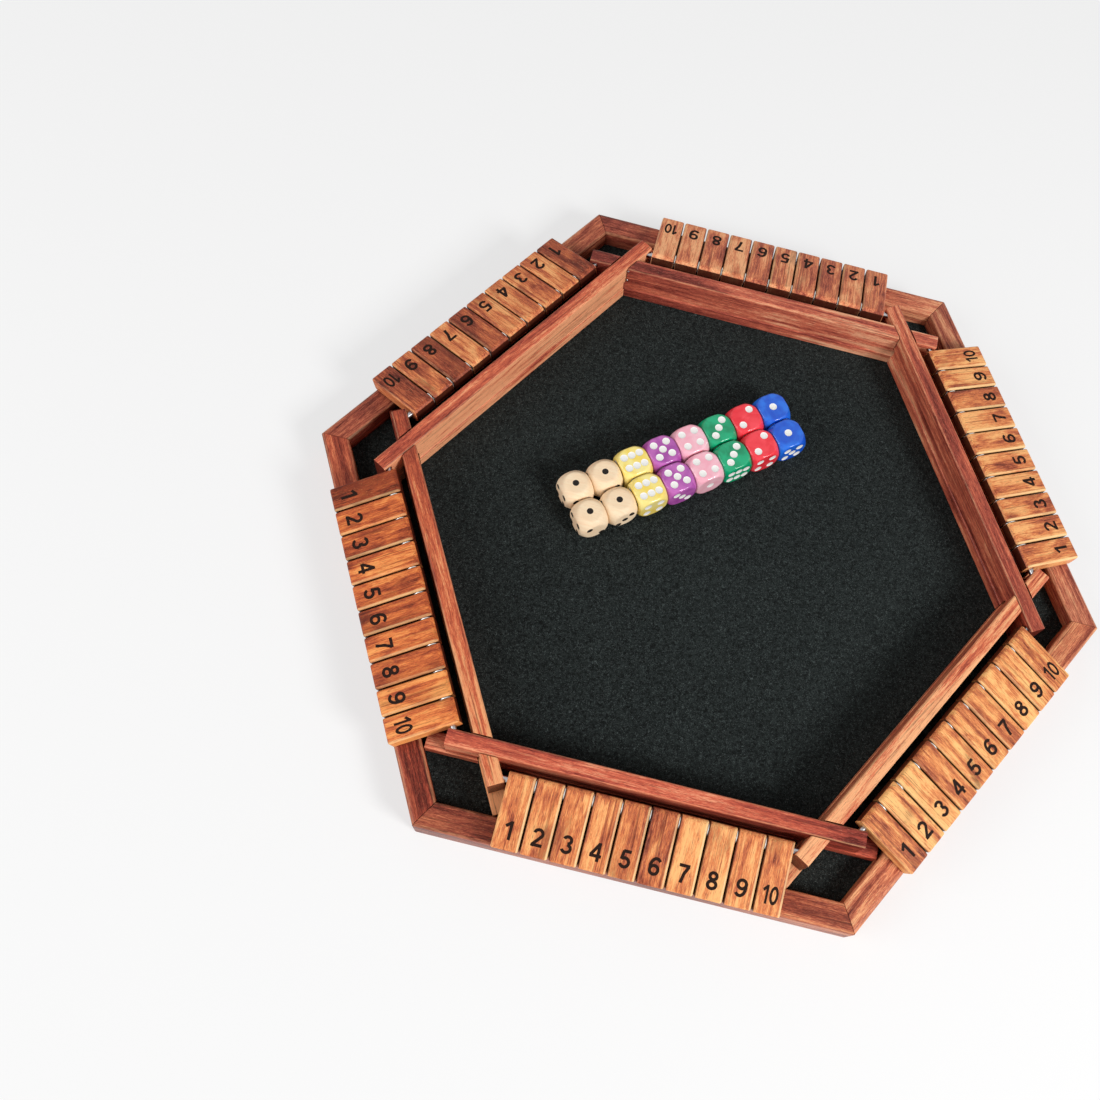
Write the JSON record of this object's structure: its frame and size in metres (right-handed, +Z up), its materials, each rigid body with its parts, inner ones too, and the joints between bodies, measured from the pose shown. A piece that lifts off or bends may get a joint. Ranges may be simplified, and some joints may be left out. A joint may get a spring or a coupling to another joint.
{
  "type": "shut the box game",
  "caption": "Hexagonal wooden shut the box game: a felted dice tray with a row of numbered flip tiles hinged on a pin along each side, and loose dice.",
  "frame": {"origin": "on the table under the centre of the hexagonal frame", "axes": "+X towards a corner of the hexagon, to the right in the picture; +Y away from the player at the front side; +Z up, square to the felt"},
  "size_m": [0.4204, 0.3678, 0.0353],
  "materials": {
    "frame_wood": "rosewood stain under satin lacquer",
    "wall_wood": "rosewood stain under satin lacquer",
    "tile_wood": "scorched chestnut stain under satin lacquer, dark printed numbers 1 to 10",
    "panel_wood": "plain panel",
    "felt": "short black felt",
    "pin_steel": "drawn rod",
    "die_natural": "bare maple with black pips",
    "die_yellow": "gloss with white pips",
    "die_purple": "gloss with white pips",
    "die_pink": "gloss with white pips",
    "die_green": "gloss with white pips",
    "die_red": "gloss with white pips",
    "die_blue": "gloss with white pips"
  },
  "bodies": {
    "board": {"frame_rail_front": "frame_wood", "frame_rail_front_right": "frame_wood", "frame_rail_back_right": "frame_wood", "frame_rail_back": "frame_wood", "frame_rail_back_left": "frame_wood", "frame_rail_front_left": "frame_wood", "wall_front": "wall_wood", "wall_front_right": "wall_wood", "wall_back_right": "wall_wood", "wall_back": "wall_wood", "wall_back_left": "wall_wood", "wall_front_left": "wall_wood", "base_panel": "panel_wood", "felt": "felt", "pin_front": "pin_steel", "pin_front_right": "pin_steel"},
    "tile_front_1": {"tile_front_1": "tile_wood"},
    "tile_front_2": {"tile_front_2": "tile_wood"},
    "tile_front_3": {"tile_front_3": "tile_wood"},
    "tile_front_4": {"tile_front_4": "tile_wood"},
    "tile_front_5": {"tile_front_5": "tile_wood"},
    "tile_front_6": {"tile_front_6": "tile_wood"},
    "tile_front_7": {"tile_front_7": "tile_wood"},
    "tile_front_8": {"tile_front_8": "tile_wood"},
    "tile_front_9": {"tile_front_9": "tile_wood"},
    "tile_front_10": {"tile_front_10": "tile_wood"},
    "tile_front_right_1": {"tile_front_right_1": "tile_wood"},
    "tile_front_right_2": {"tile_front_right_2": "tile_wood"},
    "tile_front_right_3": {"tile_front_right_3": "tile_wood"},
    "tile_front_right_4": {"tile_front_right_4": "tile_wood"},
    "tile_front_right_5": {"tile_front_right_5": "tile_wood"},
    "tile_front_right_6": {"tile_front_right_6": "tile_wood"},
    "tile_front_right_7": {"tile_front_right_7": "tile_wood"},
    "tile_front_right_8": {"tile_front_right_8": "tile_wood"},
    "tile_front_right_9": {"tile_front_right_9": "tile_wood"},
    "tile_front_right_10": {"tile_front_right_10": "tile_wood"},
    "tile_row_back_right": {"tile_row_back_right": "tile_wood"},
    "tile_row_back": {"tile_row_back": "tile_wood"},
    "tile_row_back_left": {"tile_row_back_left": "tile_wood"},
    "tile_row_front_left": {"tile_row_front_left": "tile_wood"},
    "die_natural_a_1": {"die_natural_a_1": "die_natural"},
    "die_natural_a_2": {"die_natural_a_2": "die_natural"},
    "die_natural_b_1": {"die_natural_b_1": "die_natural"},
    "die_natural_b_2": {"die_natural_b_2": "die_natural"},
    "die_yellow_1": {"die_yellow_1": "die_yellow"},
    "die_yellow_2": {"die_yellow_2": "die_yellow"},
    "die_purple_1": {"die_purple_1": "die_purple"},
    "die_purple_2": {"die_purple_2": "die_purple"},
    "die_pink_1": {"die_pink_1": "die_pink"},
    "die_pink_2": {"die_pink_2": "die_pink"},
    "die_green_1": {"die_green_1": "die_green"},
    "die_green_2": {"die_green_2": "die_green"},
    "die_red_1": {"die_red_1": "die_red"},
    "die_red_2": {"die_red_2": "die_red"},
    "die_blue_1": {"die_blue_1": "die_blue"},
    "die_blue_2": {"die_blue_2": "die_blue"}
  },
  "joints": [
    {"name": "flip_front_1", "type": "hinge", "parent": "board", "child": "tile_front_1", "pos_m": [-0.0612, -0.15329, 0.0305], "axis": [-1, 0, 0], "range_deg": [0, 139.5]},
    {"name": "flip_front_2", "type": "hinge", "parent": "board", "child": "tile_front_2", "pos_m": [-0.0476, -0.15329, 0.0305], "axis": [-1, 0, 0], "range_deg": [0, 139.5]},
    {"name": "flip_front_3", "type": "hinge", "parent": "board", "child": "tile_front_3", "pos_m": [-0.034, -0.15329, 0.0305], "axis": [-1, 0, 0], "range_deg": [0, 139.5]},
    {"name": "flip_front_4", "type": "hinge", "parent": "board", "child": "tile_front_4", "pos_m": [-0.0204, -0.15329, 0.0305], "axis": [-1, 0, 0], "range_deg": [0, 139.5]},
    {"name": "flip_front_5", "type": "hinge", "parent": "board", "child": "tile_front_5", "pos_m": [-0.0068, -0.15329, 0.0305], "axis": [-1, 0, 0], "range_deg": [0, 139.5]},
    {"name": "flip_front_6", "type": "hinge", "parent": "board", "child": "tile_front_6", "pos_m": [0.0068, -0.15329, 0.0305], "axis": [-1, 0, 0], "range_deg": [0, 139.5]},
    {"name": "flip_front_7", "type": "hinge", "parent": "board", "child": "tile_front_7", "pos_m": [0.0204, -0.15329, 0.0305], "axis": [-1, 0, 0], "range_deg": [0, 139.5]},
    {"name": "flip_front_8", "type": "hinge", "parent": "board", "child": "tile_front_8", "pos_m": [0.034, -0.15329, 0.0305], "axis": [-1, 0, 0], "range_deg": [0, 139.5]},
    {"name": "flip_front_9", "type": "hinge", "parent": "board", "child": "tile_front_9", "pos_m": [0.0476, -0.15329, 0.0305], "axis": [-1, 0, 0], "range_deg": [0, 139.5]},
    {"name": "flip_front_10", "type": "hinge", "parent": "board", "child": "tile_front_10", "pos_m": [0.0612, -0.15329, 0.0305], "axis": [-1, 0, 0], "range_deg": [0, 139.5]},
    {"name": "flip_front_right_1", "type": "hinge", "parent": "board", "child": "tile_front_right_1", "pos_m": [0.10215, -0.12965, 0.0305], "axis": [-0.5, -0.866, 0], "range_deg": [0, 139.5]},
    {"name": "flip_front_right_2", "type": "hinge", "parent": "board", "child": "tile_front_right_2", "pos_m": [0.10895, -0.11787, 0.0305], "axis": [-0.5, -0.866, 0], "range_deg": [0, 139.5]},
    {"name": "flip_front_right_3", "type": "hinge", "parent": "board", "child": "tile_front_right_3", "pos_m": [0.11575, -0.10609, 0.0305], "axis": [-0.5, -0.866, 0], "range_deg": [0, 139.5]},
    {"name": "flip_front_right_4", "type": "hinge", "parent": "board", "child": "tile_front_right_4", "pos_m": [0.12255, -0.09431, 0.0305], "axis": [-0.5, -0.866, 0], "range_deg": [0, 139.5]},
    {"name": "flip_front_right_5", "type": "hinge", "parent": "board", "child": "tile_front_right_5", "pos_m": [0.12935, -0.08253, 0.0305], "axis": [-0.5, -0.866, 0], "range_deg": [0, 139.5]},
    {"name": "flip_front_right_6", "type": "hinge", "parent": "board", "child": "tile_front_right_6", "pos_m": [0.13615, -0.07076, 0.0305], "axis": [-0.5, -0.866, 0], "range_deg": [0, 139.5]},
    {"name": "flip_front_right_7", "type": "hinge", "parent": "board", "child": "tile_front_right_7", "pos_m": [0.14295, -0.05898, 0.0305], "axis": [-0.5, -0.866, 0], "range_deg": [0, 139.5]},
    {"name": "flip_front_right_8", "type": "hinge", "parent": "board", "child": "tile_front_right_8", "pos_m": [0.14975, -0.0472, 0.0305], "axis": [-0.5, -0.866, 0], "range_deg": [0, 139.5]},
    {"name": "flip_front_right_9", "type": "hinge", "parent": "board", "child": "tile_front_right_9", "pos_m": [0.15655, -0.03542, 0.0305], "axis": [-0.5, -0.866, 0], "range_deg": [0, 139.5]},
    {"name": "flip_front_right_10", "type": "hinge", "parent": "board", "child": "tile_front_right_10", "pos_m": [0.16335, -0.02364, 0.0305], "axis": [-0.5, -0.866, 0], "range_deg": [0, 139.5]},
    {"name": "flip_row_back_right", "type": "hinge", "parent": "board", "child": "tile_row_back_right", "pos_m": [0.13275, 0.07665, 0.0305], "axis": [0.5, -0.866, 0], "range_deg": [0, 139.5]},
    {"name": "flip_row_back", "type": "hinge", "parent": "board", "child": "tile_row_back", "pos_m": [0, 0.15329, 0.0305], "axis": [1, 0, 0], "range_deg": [0, 139.5]},
    {"name": "flip_row_back_left", "type": "hinge", "parent": "board", "child": "tile_row_back_left", "pos_m": [-0.13275, 0.07665, 0.0305], "axis": [0.5, 0.866, 0], "range_deg": [0, 139.5]},
    {"name": "flip_row_front_left", "type": "hinge", "parent": "board", "child": "tile_row_front_left", "pos_m": [-0.13275, -0.07665, 0.0305], "axis": [-0.5, 0.866, 0], "range_deg": [0, 139.5]},
    {"name": "lift_die_natural_a_1", "type": "slide", "parent": "board", "child": "die_natural_a_1", "axis": [0, 0, 1], "range_m": [0, 0.06]},
    {"name": "lift_die_natural_a_2", "type": "slide", "parent": "board", "child": "die_natural_a_2", "axis": [0, 0, 1], "range_m": [0, 0.06]},
    {"name": "lift_die_natural_b_1", "type": "slide", "parent": "board", "child": "die_natural_b_1", "axis": [0, 0, 1], "range_m": [0, 0.06]},
    {"name": "lift_die_natural_b_2", "type": "slide", "parent": "board", "child": "die_natural_b_2", "axis": [0, 0, 1], "range_m": [0, 0.06]},
    {"name": "lift_die_yellow_1", "type": "slide", "parent": "board", "child": "die_yellow_1", "axis": [0, 0, 1], "range_m": [0, 0.06]},
    {"name": "lift_die_yellow_2", "type": "slide", "parent": "board", "child": "die_yellow_2", "axis": [0, 0, 1], "range_m": [0, 0.06]},
    {"name": "lift_die_purple_1", "type": "slide", "parent": "board", "child": "die_purple_1", "axis": [0, 0, 1], "range_m": [0, 0.06]},
    {"name": "lift_die_purple_2", "type": "slide", "parent": "board", "child": "die_purple_2", "axis": [0, 0, 1], "range_m": [0, 0.06]},
    {"name": "lift_die_pink_1", "type": "slide", "parent": "board", "child": "die_pink_1", "axis": [0, 0, 1], "range_m": [0, 0.06]},
    {"name": "lift_die_pink_2", "type": "slide", "parent": "board", "child": "die_pink_2", "axis": [0, 0, 1], "range_m": [0, 0.06]},
    {"name": "lift_die_green_1", "type": "slide", "parent": "board", "child": "die_green_1", "axis": [0, 0, 1], "range_m": [0, 0.06]},
    {"name": "lift_die_green_2", "type": "slide", "parent": "board", "child": "die_green_2", "axis": [0, 0, 1], "range_m": [0, 0.06]},
    {"name": "lift_die_red_1", "type": "slide", "parent": "board", "child": "die_red_1", "axis": [0, 0, 1], "range_m": [0, 0.06]},
    {"name": "lift_die_red_2", "type": "slide", "parent": "board", "child": "die_red_2", "axis": [0, 0, 1], "range_m": [0, 0.06]},
    {"name": "lift_die_blue_1", "type": "slide", "parent": "board", "child": "die_blue_1", "axis": [0, 0, 1], "range_m": [0, 0.06]},
    {"name": "lift_die_blue_2", "type": "slide", "parent": "board", "child": "die_blue_2", "axis": [0, 0, 1], "range_m": [0, 0.06]}
  ]
}
